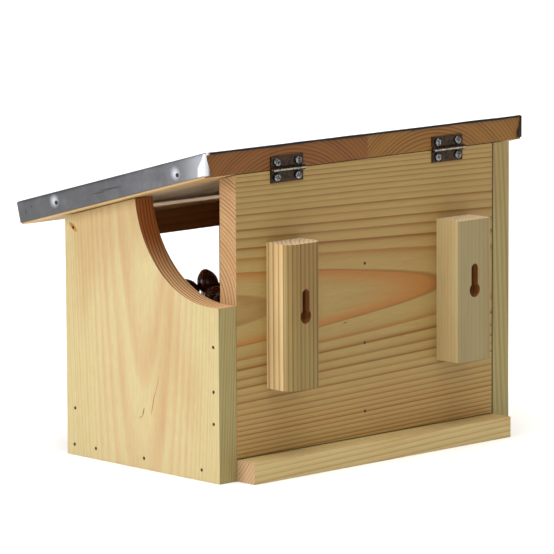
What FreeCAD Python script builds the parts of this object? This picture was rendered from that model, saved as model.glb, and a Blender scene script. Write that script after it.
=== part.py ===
"""Wall-hung wooden feeder box with a hinged, metal-covered roof lid.

Row frame, in millimetres: +X across the box towards the side with the entry cut, +Y towards the wall
that the box hangs on, +Z up. The origin is on the underside, midway between the sides, in the plane of
the back panel's outer face. "Left" and "right" are as seen by someone who looks at the back.
"""

import FreeCAD, Part
import os

import Sketcher
from FreeCAD import Placement, Rotation, Vector

doc = FreeCAD.newDocument("feeder_box")

# Driving dimensions: millimetres, and one angle in degrees.
DIMENSIONS = {
    "board": 16.0,
    "floor_board": 14.5,
    "body_width": 280.0,
    "body_depth": 157.0,
    "rear_height": 208.7,
    "roof_pitch": 14.8,
    "lid_gap": 0.6,
    "floor_gap": 0.8,
    "panel_gap": 0.3,
    "ledge": 17.6,
    "entry_radius": 75.0,
    "entry_sill_height": 120.0,
    "entry_sill_depth": 9.0,
    "front_board_top": 50.0,
    "front_bar_bottom": 149.0,
    "front_bar_top": 165.9,
    "pane": 2.4,
    "pane_groove": 3.0,
    "pane_groove_depth": 6.0,
    "pane_setback": 8.0,
    "divider_x": 2.8,
    "batten_width": 32.0,
    "batten_thickness": 22.0,
    "batten_bottom": 60.3,
    "batten_height": 100.0,
    "batten_left_x": 79.8,
    "batten_right_x": -83.2,
    "batten_left_round": 8.0,
    "batten_right_round": 1.6,
    "key_hole_radius": 5.2,
    "key_slot_radius": 3.5,
    "key_hole_height": 110.5,
    "key_slot_top": 129.2,
    "key_lip": 5.0,
    "key_depth": 11.0,
    "roof_board": 15.4,
    "roof_width": 303.0,
    "roof_length": 196.0,
    "roof_metal": 0.6,
    "roof_flange": 14.2,
    "hinge_x": 77.0,
    "hinge_width": 30.0,
    "hinge_leaf": 9.0,
    "hinge_metal": 1.0,
    "hinge_barrel_radius": 1.8,
    "hinge_pin_radius": 0.9,
    "hinge_pin_play": 0.05,
    "hinge_pin_y": 2.1,
    "hinge_pin_drop": 0.2,
    "hinge_play": 0.3,
    "hinge_screw_spread": 9.8,
    "hinge_screw_reach": 5.1,
    "screw_head_radius": 2.8,
    "screw_head": 1.8,
    "screw_radius": 1.2,
    "screw_length": 13.0,
    "brad_head_radius": 1.1,
    "brad_head": 1.0,
    "brad_radius": 0.65,
    "brad_length": 35.0,
    "brad_sunk": 0.5,
    "roof_nail_head_radius": 1.5,
    "roof_nail_head": 0.8,
    "roof_nail_radius": 0.8,
    "roof_nail_length": 18.0,
    "batten_screw_head_radius": 3.4,
    "batten_screw_head": 2.6,
    "batten_screw_radius": 1.7,
    "batten_screw_length": 30.0,
    "hole_play": 0.1,
    "nut_clearance": 0.5,
    "heap_back": 102.0,
    "heap_front": 114.0,
}

sheet = doc.addObject("Spreadsheet::Sheet", "size")
for row, (alias, number) in enumerate(DIMENSIONS.items(), start=1):
    sheet.set(f"A{row}", alias)
    sheet.set(f"B{row}", str(number))
    sheet.setAlias(f"B{row}", alias)
doc.recompute()

# Sizes that follow from the driving ones, as expressions.
OUTER = "size.body_width / 2"
INNER = f"({OUTER} - size.board)"
FRONT = "-size.body_depth"
BEHIND_FRONT = f"({FRONT} + size.board)"
PANE_Y = f"({FRONT} + size.pane_setback)"
SLOPE = "tan(size.roof_pitch)"
FLOOR_TOP = "size.floor_board"
WALLS_BOTTOM = "(size.floor_board + size.floor_gap)"
ROOF_HALF = "size.roof_width / 2"
ROOF_REAR_Z = "(size.rear_height + size.lid_gap)"
ROOF_TOP = "(size.roof_board + size.roof_metal)"
FLANGE_BOTTOM = "(size.roof_board - size.roof_flange)"
PLUMB_SHIFT = f"size.roof_board * {SLOPE}"
PIN_Z = f"({ROOF_REAR_Z} - size.hinge_pin_drop)"
BRAD_GRIP = "(size.brad_length - size.board + size.brad_sunk)"

# Places of the fasteners: (y, z) on the side walls, and z up the middle of the back.
FLOOR_BRADS = [(-127, 7.5), (-76.8, 7.5), (-18, 7.5), (-149.5, 7.5)]
FRONT_BOARD_BRADS = [(-148.5, 33.3)]
FRONT_BAR_BRADS = [(-148.5, 160.2)]
LOW_BACK_BRADS = [(-5.6, 40.5), (-5.6, 62.5), (-5.6, 93)]
HIGH_BACK_BRADS = [(-5.6, 140), (-5.6, 185)]
DIVIDER_BRAD_HEIGHTS = [32.6, 80.8, 136.2]
BATTEN_SCREW_HEIGHTS = [75, 145]
# On the roof, drawn flat: (y, z) in the side flanges, (x, z) in the front flange.
ROOF_SIDE_NAILS = [(-154.2, 8.8), (-25.4, 6.4)]
ROOF_FRONT_NAILS = [(-110, 8.6), (110, 8.6)]
SCREW_SIGNS = [-1, 1]

# The top of the nut heap between its back and front edges, as (y, z).
HEAP_CROWN = [(-55, 112), (-104, 119)]


def value(expression):
    """The number that an expression gives with the present dimensions."""
    return float(sheet.evalExpression(str(expression)))


# --- Sketches and features -------------------------------------------------------------------------


def new_body(label):
    body = doc.addObject("PartDesign::Body", label)
    body.Label = label
    return body


def new_sketch(body, name, plane, offset="0", tilt=None):
    """An empty sketch on one of the body's origin planes, moved along its normal and tilted about its x."""
    sketch = body.newObject("Sketcher::SketchObject", name)
    support = next(item for item in body.Origin.OriginFeatures if item.Role == plane)
    sketch.AttachmentSupport = (support, [""])
    sketch.MapMode = "FlatFace"
    if tilt is not None:
        sketch.AttachmentOffset = Placement(Vector(), Rotation(Vector(1, 0, 0), value(tilt)))
        sketch.setExpression("AttachmentOffset.Rotation.Angle", tilt)
    sketch.setExpression("AttachmentOffset.Base.z", offset)
    return sketch


def bind(sketch, kind, item, point, expression):
    """Ties one coordinate of a sketch point, measured from the sketch's origin, to an expression."""
    index = sketch.addConstraint(Sketcher.Constraint(kind, -1, 1, item, point, value(expression)))
    sketch.setExpression(f"Constraints[{index}]", str(expression))


def draw_outline(sketch, corners, arc=None):
    """A closed outline through corners, each a pair of expressions. Where arc is given as (edge, x, y,
    radius), the edge that starts at that corner is a round stretch about the centre x, y."""
    points = [Vector(value(x), value(y), 0) for x, y in corners]
    first_ends = []
    last_ends = []
    for edge, start in enumerate(points):
        end = points[(edge + 1) % len(points)]
        if arc is not None and arc[0] == edge:
            centre = Vector(value(arc[1]), value(arc[2]), 0)
            circle = Part.Circle(centre, Vector(0, 0, 1), value(arc[3]))
            clockwise = (start - centre).cross(end - centre).z < 0
            low, high = (end, start) if clockwise else (start, end)
            angles = [circle.parameter(low), circle.parameter(high)]
            sketch.addGeometry(Part.ArcOfCircle(circle, *angles))
            index = sketch.addConstraint(Sketcher.Constraint("Radius", edge, circle.Radius))
            sketch.setExpression(f"Constraints[{index}]", str(arc[3]))
            first_ends.append(2 if clockwise else 1)
            last_ends.append(1 if clockwise else 2)
        else:
            sketch.addGeometry(Part.LineSegment(start, end))
            first_ends.append(1)
            last_ends.append(2)
    for edge, (x, y) in enumerate(corners):
        after = (edge + 1) % len(corners)
        sketch.addConstraint(
            Sketcher.Constraint("Coincident", edge, last_ends[edge], after, first_ends[after])
        )
        bind(sketch, "DistanceX", edge, first_ends[edge], x)
        bind(sketch, "DistanceY", edge, first_ends[edge], y)


def draw_rectangle(sketch, low_x, low_y, high_x, high_y):
    draw_outline(sketch, [(low_x, low_y), (high_x, low_y), (high_x, high_y), (low_x, high_y)])


def draw_circles(sketch, centres, radius):
    for item, (x, y) in enumerate(centres):
        sketch.addGeometry(Part.Circle(Vector(value(x), value(y), 0), Vector(0, 0, 1), value(radius)))
        bind(sketch, "DistanceX", item, 3, x)
        bind(sketch, "DistanceY", item, 3, y)
        index = sketch.addConstraint(Sketcher.Constraint("Radius", item, value(radius)))
        sketch.setExpression(f"Constraints[{index}]", str(radius))


def pad(body, sketch, length, symmetric=False, reverse=False):
    feature = body.newObject("PartDesign::Pad", f"{sketch.Name}_pad")
    feature.Profile = sketch
    feature.SideType = "Symmetric" if symmetric else "One side"
    feature.Reversed = reverse
    feature.setExpression("Length", length)
    doc.recompute()
    return feature


def pocket(body, sketch, length, symmetric=False, reverse=False):
    """Cuts against the sketch's normal, or along it where reverse is true, and makes sure that it cut."""
    before = body.Shape.Volume
    feature = body.newObject("PartDesign::Pocket", f"{sketch.Name}_pocket")
    feature.Profile = sketch
    feature.SideType = "Symmetric" if symmetric else "One side"
    feature.Reversed = reverse
    feature.setExpression("Length", length)
    doc.recompute()
    if body.Shape.Volume >= before - 1e-6:
        raise RuntimeError(f"{feature.Name} removed nothing")
    return feature


def drill(body, name, plane, centres, radius, depth, offset="0", reverse=False, tilt=None):
    sketch = new_sketch(body, name, plane, offset, tilt)
    draw_circles(sketch, centres, f"{radius} + size.hole_play")
    pocket(body, sketch, depth, reverse=reverse)


def end_holes(body, name, centres):
    """Holes for the brads that come through the side walls, in both ends of a board between them."""
    for side, sign, reverse in (("left", "", False), ("right", "-", True)):
        drill(body, f"{name}_{side}", "YZ_Plane", centres, "size.brad_radius", BRAD_GRIP,
              f"{sign}{INNER}", reverse)


def brad_holes(body, name, plane, centres, offset="0", reverse=False):
    """Holes for brads through a board from its outer face: a recess for the head, and the shank."""
    recess = "size.brad_head + size.brad_sunk + size.hole_play"
    drill(body, f"{name}_shank", plane, centres, "size.brad_radius", "size.board", offset, reverse)
    drill(body, f"{name}_head", plane, centres, "size.brad_head_radius", recess, offset, reverse)


def board_between_sides(label, corners, length=f"2 * {INNER}"):
    """A board of constant section that runs along X, centred between the side walls."""
    body = new_body(label)
    sketch = new_sketch(body, f"{label}_section", "YZ_Plane")
    draw_outline(sketch, corners)
    pad(body, sketch, length, symmetric=True)
    return body


# --- The box --------------------------------------------------------------------------------------


def side_panel(label, sign, brads):
    """A side wall: upright grain, top edge sloped with the roof, groove for the window pane."""
    body = new_body(label)
    outer_face = f"{sign}{OUTER}"
    inwards = sign == "-"
    sketch = new_sketch(body, f"{label}_outline", "YZ_Plane", outer_face)
    front_top = f"size.rear_height - size.body_depth * {SLOPE}"
    draw_outline(sketch, [(FRONT, "0"), ("0", "0"), ("0", "size.rear_height"), (FRONT, front_top)])
    pad(body, sketch, "size.board", reverse=not inwards)

    groove = new_sketch(body, f"{label}_groove", "YZ_Plane", f"{sign}({INNER} + size.pane_groove_depth)")
    draw_rectangle(
        groove,
        f"{PANE_Y} - size.pane_groove / 2", "size.front_board_top - size.pane_groove_depth",
        f"{PANE_Y} + size.pane_groove / 2", "size.front_bar_bottom + size.pane_groove_depth",
    )
    pocket(body, groove, "size.pane_groove_depth", reverse=inwards)
    brad_holes(body, f"{label}_brad", "YZ_Plane", brads, outer_face, reverse=inwards)
    return body


def entry_cut(body):
    """The quarter-round entry in a side wall's top rear corner: an arc, then a short level sill."""
    arc_y = "-size.entry_sill_depth"
    arc_z = "size.entry_sill_height + size.entry_radius"
    past_rear = "size.board"
    past_top = "size.rear_height + size.board"
    front = f"{arc_y} - size.entry_radius"
    sketch = new_sketch(body, "entry_outline", "YZ_Plane", OUTER)
    draw_outline(
        sketch,
        [(front, arc_z), (arc_y, "size.entry_sill_height"), (past_rear, "size.entry_sill_height"),
         (past_rear, past_top), (front, past_top)],
        arc=(0, arc_y, arc_z, "size.entry_radius"),
    )
    pocket(body, sketch, "size.board")


def floor_board():
    body = board_between_sides(
        "floor_board",
        [(FRONT, "0"), ("size.ledge", "0"), ("size.ledge", FLOOR_TOP), (FRONT, FLOOR_TOP)],
    )
    end_holes(body, "floor_end", FLOOR_BRADS)
    return body


def back_panel():
    """The back, between the sides: sloped top edge, and holes for the hinges, battens and divider."""
    inner_top = f"size.rear_height - size.board * {SLOPE}"
    body = board_between_sides(
        "back_panel",
        [("-size.board", WALLS_BOTTOM), ("0", WALLS_BOTTOM), ("0", "size.rear_height"),
         ("-size.board", inner_top)],
        f"2 * ({INNER} - size.panel_gap)",
    )
    end_holes(body, "back_end_low", LOW_BACK_BRADS)
    drill(body, "back_end_high", "YZ_Plane", HIGH_BACK_BRADS, "size.brad_radius", BRAD_GRIP,
          f"-{INNER}", reverse=True)
    divider_row = [("size.divider_x", height) for height in DIVIDER_BRAD_HEIGHTS]
    brad_holes(body, "back_middle", "XZ_Plane", divider_row, reverse=True)
    drill(body, "back_hinge_pilot", "XZ_Plane", hinge_screw_places(-1), "size.screw_radius",
          "size.screw_length - size.hinge_metal + size.hole_play", reverse=True)
    screws = batten_screw_places()
    drill(body, "back_batten_screw", "XZ_Plane", screws, "size.batten_screw_radius", "size.board",
          reverse=True)
    drill(body, "back_batten_head", "XZ_Plane", screws, "size.batten_screw_head_radius",
          "size.batten_screw_head", offset="size.board")
    return body


def front_board():
    """The low board under the window, grooved along its top edge for the pane."""
    body = board_between_sides(
        "front_board",
        [(FRONT, WALLS_BOTTOM), (BEHIND_FRONT, WALLS_BOTTOM), (BEHIND_FRONT, "size.front_board_top"),
         (FRONT, "size.front_board_top")],
    )
    groove = new_sketch(body, "front_board_groove", "YZ_Plane")
    draw_rectangle(
        groove,
        f"{PANE_Y} - size.pane_groove / 2", "size.front_board_top - size.pane_groove_depth",
        f"{PANE_Y} + size.pane_groove / 2", "size.front_board_top",
    )
    pocket(body, groove, f"2 * {INNER}", symmetric=True)
    end_holes(body, "front_board_end", FRONT_BOARD_BRADS)
    return body


def front_bar():
    """The bar over the window, grooved along its underside for the pane."""
    body = board_between_sides(
        "front_bar",
        [(FRONT, "size.front_bar_bottom"), (BEHIND_FRONT, "size.front_bar_bottom"),
         (BEHIND_FRONT, "size.front_bar_top"), (FRONT, "size.front_bar_top")],
    )
    groove = new_sketch(body, "front_bar_groove", "YZ_Plane")
    draw_rectangle(
        groove,
        f"{PANE_Y} - size.pane_groove / 2", "size.front_bar_bottom",
        f"{PANE_Y} + size.pane_groove / 2", "size.front_bar_bottom + size.pane_groove_depth",
    )
    pocket(body, groove, f"2 * {INNER}", symmetric=True)
    end_holes(body, "front_bar_end", FRONT_BAR_BRADS)
    return body


def front_window():
    """The clear pane, loose by half a millimetre in the grooves around it."""
    margin = "(size.pane_groove_depth - 0.5)"
    low = f"size.front_board_top - {margin}"
    high = f"size.front_bar_bottom + {margin}"
    near = f"{PANE_Y} - size.pane / 2"
    far = f"{PANE_Y} + size.pane / 2"
    return board_between_sides(
        "front_window", [(near, low), (far, low), (far, high), (near, high)],
        f"2 * ({INNER} + {margin})",
    )


def centre_divider():
    """The upright board that splits the bin in two, nailed through the back."""
    body = new_body("centre_divider")
    sketch = new_sketch(body, "divider_outline", "YZ_Plane", "size.divider_x")
    draw_rectangle(sketch, BEHIND_FRONT, FLOOR_TOP, "-size.board", "size.front_bar_bottom")
    pad(body, sketch, "size.floor_board", symmetric=True)
    holes = [("size.divider_x", height) for height in DIVIDER_BRAD_HEIGHTS]
    drill(body, "divider_brad", "XZ_Plane", holes, "size.brad_radius", BRAD_GRIP,
          offset="size.board", reverse=True)
    return body


def hanging_batten(side):
    """A batten on the back with a routed keyhole: a round way in, and a narrow slot over a wider channel."""
    centre = f"size.batten_{side}_x"
    low = f"{centre} - size.batten_width / 2"
    high = f"{centre} + size.batten_width / 2"
    body = new_body(f"hanging_batten_{side}")
    outline = new_sketch(body, f"batten_{side}_outline", "XY_Plane", "size.batten_bottom")
    draw_rectangle(outline, low, "0", high, "size.batten_thickness")
    block = pad(body, outline, "size.batten_height")
    rear_edges = [
        f"Edge{index}"
        for index, edge in enumerate(body.Shape.Edges, start=1)
        if edge.BoundBox.YMin > value("size.batten_thickness") - 0.01
        and edge.BoundBox.ZLength > value("size.batten_height") - 0.01
    ]
    rounding = body.newObject("PartDesign::Fillet", f"batten_{side}_rounding")
    rounding.Base = (block, rear_edges)
    rounding.setExpression("Radius", f"size.batten_{side}_round")
    doc.recompute()

    rear_face = "-size.batten_thickness"
    slot_end = "(size.key_slot_top - size.key_slot_radius)"
    hole = new_sketch(body, f"batten_{side}_hole", "XZ_Plane", rear_face)
    draw_circles(hole, [(centre, "size.key_hole_height")], "size.key_hole_radius")
    pocket(body, hole, "size.key_depth", reverse=True)
    for name, radius, plane, depth in (
        ("slot", "size.key_slot_radius", rear_face, "size.key_depth"),
        ("channel", "size.key_hole_radius", f"{rear_face} + size.key_lip", "size.key_depth - size.key_lip"),
    ):
        straight = new_sketch(body, f"batten_{side}_{name}", "XZ_Plane", plane)
        draw_rectangle(straight, f"{centre} - {radius}", "size.key_hole_height",
                       f"{centre} + {radius}", slot_end)
        pocket(body, straight, depth, reverse=True)
        round_end = new_sketch(body, f"batten_{side}_{name}_end", "XZ_Plane", plane)
        draw_circles(round_end, [(centre, slot_end)], radius)
        pocket(body, round_end, depth, reverse=True)
    pilots = [place for place in batten_screw_places() if place[0] == centre]
    drill(body, f"batten_{side}_pilot", "XZ_Plane", pilots, "size.batten_screw_radius",
          "size.batten_screw_length - size.board + size.hole_play")
    return body


def nut_fill(label, low_x, high_x):
    """The heap of nuts in one half of the bin, as one closed solid that stands clear of the boards."""
    body = new_body(label)
    sketch = new_sketch(body, f"{label}_section", "YZ_Plane", low_x)
    bottom = f"{FLOOR_TOP} + size.nut_clearance"
    inside_board = f"{BEHIND_FRONT} + size.nut_clearance"
    inside_pane = f"{PANE_Y} + size.pane / 2 + size.nut_clearance"
    inside_back = "-size.board - size.nut_clearance"
    sill = "size.front_board_top + size.nut_clearance"
    draw_outline(
        sketch,
        [(inside_board, bottom), (inside_back, bottom), (inside_back, "size.heap_back"), *HEAP_CROWN,
         (inside_pane, "size.heap_front"), (inside_pane, sill), (inside_board, sill)],
    )
    pad(body, sketch, f"{high_x} - ({low_x})")
    return body


# --- The roof lid, drawn flat: its own y runs up the slope, and z is square to it --------------------


def lay_on_slope(body):
    pitch = Rotation(Vector(1, 0, 0), value("size.roof_pitch"))
    body.Placement = Placement(Vector(0, 0, value(ROOF_REAR_Z)), pitch)
    body.setExpression("Placement.Base.z", ROOF_REAR_Z)
    body.setExpression("Placement.Rotation.Angle", "size.roof_pitch")


def roof_board(side, sign):
    """One half of the roof, its rear end cut plumb so that it lines up with the back."""
    label = f"roof_board_{side}"
    body = new_body(label)
    sketch = new_sketch(body, f"{label}_section", "YZ_Plane")
    draw_outline(
        sketch,
        [("-size.roof_length", "0"), ("0", "0"), (PLUMB_SHIFT, "size.roof_board"),
         ("-size.roof_length", "size.roof_board")],
    )
    pad(body, sketch, ROOF_HALF, reverse=sign == "-")
    nail_depth = "size.roof_nail_length - size.roof_metal + size.hole_play"
    drill(body, f"{label}_side_nail", "YZ_Plane", ROOF_SIDE_NAILS, "size.roof_nail_radius", nail_depth,
          f"{sign}{ROOF_HALF}", reverse=sign == "-")
    front_nails = [(x, z) for x, z in ROOF_FRONT_NAILS if (x < 0) == (sign == "-")]
    drill(body, f"{label}_front_nail", "XZ_Plane", front_nails, "size.roof_nail_radius", nail_depth,
          "size.roof_length")
    centre = f"{sign}size.hinge_x"
    height = f"size.hinge_screw_reach - size.hinge_pin_drop"
    screws = [(f"{centre} + {way} * size.hinge_screw_spread", height) for way in SCREW_SIGNS]
    drill(body, f"{label}_hinge_pilot", "XZ_Plane", screws, "size.screw_radius",
          "size.screw_length - size.hinge_metal + size.hole_play", reverse=True, tilt="-size.roof_pitch")
    lay_on_slope(body)
    return body


def roof_sheet():
    """The folded metal cover: a top, a front flange and two side flanges, open at the rear."""
    body = new_body("roof_sheet")
    outer_front = "-size.roof_length - size.roof_metal"
    section = new_sketch(body, "roof_sheet_section", "YZ_Plane")
    draw_outline(
        section,
        [(outer_front, FLANGE_BOTTOM), (outer_front, ROOF_TOP), (PLUMB_SHIFT, ROOF_TOP),
         (PLUMB_SHIFT, "size.roof_board"), ("-size.roof_length", "size.roof_board"),
         ("-size.roof_length", FLANGE_BOTTOM)],
    )
    pad(body, section, "size.roof_width", symmetric=True)
    for side, sign, reverse in (("left", "", False), ("right", "-", True)):
        flange = new_sketch(body, f"roof_flange_{side}", "YZ_Plane", f"{sign}{ROOF_HALF}")
        draw_rectangle(flange, outer_front, FLANGE_BOTTOM, "0", ROOF_TOP)
        pad(body, flange, "size.roof_metal", reverse=reverse)
        drill(body, f"roof_flange_{side}_nail", "YZ_Plane", ROOF_SIDE_NAILS, "size.roof_nail_radius",
              "size.roof_metal", f"{sign}({ROOF_HALF} + size.roof_metal)", reverse)
    drill(body, "roof_front_nail", "XZ_Plane", ROOF_FRONT_NAILS, "size.roof_nail_radius", "size.roof_metal",
          "size.roof_length + size.roof_metal")
    lay_on_slope(body)
    return body


# --- Hinges ---------------------------------------------------------------------------------------


def hinge_screw_places(way):
    """The (x, z) places of the screws above (way 1) or below (way -1) the hinge pins, left hinge first."""
    height = f"{PIN_Z} + {way} * size.hinge_screw_reach"
    return [
        (f"{sign}size.hinge_x + {screw} * size.hinge_screw_spread", height)
        for sign in ("", "-")
        for screw in SCREW_SIGNS
    ]


def hinge_leaf(part, side, sign):
    """One leaf of a narrow butt hinge: the lower leaf has three knuckles, and the upper one two."""
    label = f"hinge_leaf_{part}_{side}"
    way = 1 if part == "upper" else -1
    centre = f"{sign}size.hinge_x"
    body = new_body(label)
    plate = new_sketch(body, f"{label}_plate", "YZ_Plane", centre)
    far_edge = f"{PIN_Z} + {way} * size.hinge_leaf"
    low_edge, high_edge = (PIN_Z, far_edge) if way > 0 else (far_edge, PIN_Z)
    draw_rectangle(plate, "0", low_edge, "size.hinge_metal", high_edge)
    pad(body, plate, "size.hinge_width", symmetric=True)
    barrel = new_sketch(body, f"{label}_barrel", "YZ_Plane", centre)
    draw_circles(barrel, [("size.hinge_pin_y", PIN_Z)], "size.hinge_barrel_radius")
    pad(body, barrel, "size.hinge_width", symmetric=True)

    knuckle = "size.hinge_width / 5"
    clearance = "size.hinge_barrel_radius + size.hinge_play"
    notches = (-1, 1) if part == "lower" else (-2, 0, 2)
    for number, place in enumerate(notches):
        notch = new_sketch(body, f"{label}_notch{number}", "XZ_Plane")
        middle = f"{centre} + {place} * {knuckle}"
        half = f"({knuckle} + size.hinge_play) / 2"
        draw_rectangle(notch, f"{middle} - {half}", f"{PIN_Z} - ({clearance})",
                       f"{middle} + {half}", f"{PIN_Z} + {clearance}")
        pocket(body, notch, "2 * size.board", symmetric=True)
    bore = new_sketch(body, f"{label}_bore", "YZ_Plane", centre)
    draw_circles(bore, [("size.hinge_pin_y", PIN_Z)], "size.hinge_pin_radius + size.hinge_pin_play")
    pocket(body, bore, "2 * size.hinge_width", symmetric=True)
    holes = [place for place in hinge_screw_places(way) if place[0].startswith(f"{centre} ")]
    drill(body, f"{label}_screw", "XZ_Plane", holes, "size.screw_radius + size.hole_play",
          "2 * size.hinge_metal", offset="-size.hinge_metal", reverse=True)
    return body


def hinge_pin(side, sign):
    pin = doc.addObject("Part::Cylinder", f"hinge_pin_{side}")
    pin.Label = f"hinge_pin_{side}"
    pin.setExpression("Radius", "size.hinge_pin_radius")
    pin.setExpression("Height", "size.hinge_width")
    pin.Placement = Placement(Vector(), Rotation(Vector(0, 1, 0), 90))
    pin.setExpression("Placement.Base.x", f"{sign}size.hinge_x - size.hinge_width / 2")
    pin.setExpression("Placement.Base.y", "size.hinge_pin_y")
    pin.setExpression("Placement.Base.z", PIN_Z)
    return pin


# --- Fasteners ------------------------------------------------------------------------------------


# The radii of each kind's head, at its outer face and where the head ends.
HEAD_RADII = {
    "brad": ("size.brad_head_radius", "size.brad_radius"),
    "screw": ("size.screw_head_radius * 0.75", "size.screw_head_radius"),
    "batten_screw": ("size.batten_screw_head_radius", "size.batten_screw_radius"),
    "roof_nail": ("size.roof_nail_head_radius", "size.roof_nail_head_radius - size.hole_play"),
}


def fastener(name, kind, place, direction):
    """A nail or screw whose head's outer face is at place, driven along direction. Kind names its sizes."""
    turn = Rotation(Vector(0, 0, 1), direction)
    head = doc.addObject("Part::Cone", f"{name}_head")
    head.setExpression("Height", f"size.{kind}_head")
    head.setExpression("Radius1", HEAD_RADII[kind][0])
    head.setExpression("Radius2", HEAD_RADII[kind][1])
    shank = doc.addObject("Part::Cylinder", f"{name}_shank")
    shank.setExpression("Radius", f"size.{kind}_radius")
    shank.setExpression("Height", f"size.{kind}_length")
    whole = doc.addObject("Part::Fuse", name)
    whole.Base = head
    whole.Tool = shank
    start = Vector(*[value(item) for item in place])
    whole.Placement = Placement(start, turn)
    return whole


def fastener_group(label, kind, places, directions, on_slope=False):
    """Separate identical fasteners that share one node. Places are expressions for the heads' outer faces."""
    pieces = [
        fastener(f"{label}_{number}", kind, place, direction)
        for number, (place, direction) in enumerate(zip(places, directions))
    ]
    group = doc.addObject("Part::Compound", label)
    group.Label = label
    group.Links = pieces
    if on_slope:
        lay_on_slope(group)
    return group


def side_brads(label, sign, places):
    outside = f"{sign}({OUTER} - size.brad_sunk)"
    inwards = Vector(1 if sign == "-" else -1, 0, 0)
    heads = [(outside, y, z) for y, z in places]
    return fastener_group(label, "brad", heads, [inwards] * len(heads))


def divider_brads():
    places = [("size.divider_x", "-size.brad_sunk", height) for height in DIVIDER_BRAD_HEIGHTS]
    return fastener_group("divider_brads", "brad", places, [Vector(0, -1, 0)] * len(places))


def hinge_screws(part, way):
    head_face = "size.hinge_metal + size.screw_head"
    places = [(x, head_face, z) for x, z in hinge_screw_places(way)]
    return fastener_group(f"hinge_screws_{part}", "screw", places, [Vector(0, -1, 0)] * len(places))


def batten_screw_places():
    return [
        (f"size.batten_{side}_x", height) for side in ("left", "right") for height in BATTEN_SCREW_HEIGHTS
    ]


def batten_screws():
    places = [(x, "-size.board", z) for x, z in batten_screw_places()]
    return fastener_group("batten_screws", "batten_screw", places, [Vector(0, 1, 0)] * len(places))


def roof_nails():
    head_out = "size.roof_metal + size.roof_nail_head"
    places = []
    directions = []
    for sign, inwards in (("", Vector(-1, 0, 0)), ("-", Vector(1, 0, 0))):
        for y, z in ROOF_SIDE_NAILS:
            places.append((f"{sign}({ROOF_HALF} + {head_out})", y, z))
            directions.append(inwards)
    for x, z in ROOF_FRONT_NAILS:
        places.append((x, f"-size.roof_length - ({head_out})", z))
        directions.append(Vector(0, 1, 0))
    return fastener_group("roof_nails", "roof_nail", places, directions, on_slope=True)


# --- Assembly -------------------------------------------------------------------------------------


def build():
    brads_both = FLOOR_BRADS + FRONT_BOARD_BRADS + FRONT_BAR_BRADS + LOW_BACK_BRADS
    brads_plain = brads_both + HIGH_BACK_BRADS
    side_panel_entry = side_panel("side_panel_entry", "", brads_both)
    entry_cut(side_panel_entry)
    divider_half = "size.floor_board / 2 + size.nut_clearance"
    parts = [
        side_panel_entry,
        side_panel("side_panel_plain", "-", brads_plain),
        floor_board(),
        back_panel(),
        front_board(),
        front_bar(),
        front_window(),
        centre_divider(),
        nut_fill("nut_fill_left", f"size.divider_x + {divider_half}", f"{INNER} - size.nut_clearance"),
        nut_fill("nut_fill_right", f"-{INNER} + size.nut_clearance", f"size.divider_x - ({divider_half})"),
        side_brads("side_brads_entry", "", brads_both),
        side_brads("side_brads_plain", "-", brads_plain),
        divider_brads(),
        batten_screws(),
        roof_sheet(),
        roof_nails(),
        hinge_screws("lower", -1),
        hinge_screws("upper", 1),
    ]
    for side, sign in (("left", ""), ("right", "-")):
        parts.append(hanging_batten(side))
        parts.append(roof_board(side, sign))
        parts.append(hinge_leaf("lower", side, sign))
        parts.append(hinge_leaf("upper", side, sign))
        parts.append(hinge_pin(side, sign))
    return parts


def check(parts):
    """Stops if any feature failed or any sub-part isn't a whole, valid solid."""
    for item in doc.Objects:
        if "Invalid" in item.State or "Error" in item.State:
            raise RuntimeError(f"{item.Name} failed: {item.State}")
    for part in parts:
        shape = part.Shape
        if shape.isNull() or not shape.isValid() or not shape.Solids:
            raise RuntimeError(f"{part.Label} has no valid solid")


def export(parts):
    os.makedirs("parts", exist_ok=True)
    for part in parts:
        part.Shape.exportStep(f"parts/{part.Label}.step")
        box = part.Shape.BoundBox
        print(
            f"{part.Label:26} solids {len(part.Shape.Solids):2}  volume {part.Shape.Volume:10.1f}  "
            f"x {box.XMin:7.1f} {box.XMax:7.1f}  y {box.YMin:7.1f} {box.YMax:7.1f}  "
            f"z {box.ZMin:6.1f} {box.ZMax:6.1f}"
        )


all_parts = build()
doc.recompute()
check(all_parts)
export(all_parts)
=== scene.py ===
"""Materials, fine pieces, light and camera for the wall-hung feeder box.

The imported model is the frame, in metres: +X across the box towards the side with the entry cut, +Y towards
the wall that it hangs on, +Z up. Lengths in this file are millimetres, and MM turns them into metres.
"""

import math

import bpy
import numpy as np
from mathutils import Matrix, Quaternion, Vector


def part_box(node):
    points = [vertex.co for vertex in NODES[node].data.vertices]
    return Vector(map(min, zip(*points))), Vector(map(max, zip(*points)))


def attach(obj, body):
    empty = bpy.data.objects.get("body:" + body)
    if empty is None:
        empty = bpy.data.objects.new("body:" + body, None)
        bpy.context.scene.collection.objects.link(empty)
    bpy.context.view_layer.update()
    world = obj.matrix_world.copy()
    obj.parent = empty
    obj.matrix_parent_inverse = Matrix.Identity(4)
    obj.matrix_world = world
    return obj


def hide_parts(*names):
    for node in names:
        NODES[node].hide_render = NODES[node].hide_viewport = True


MM = 0.001

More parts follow.
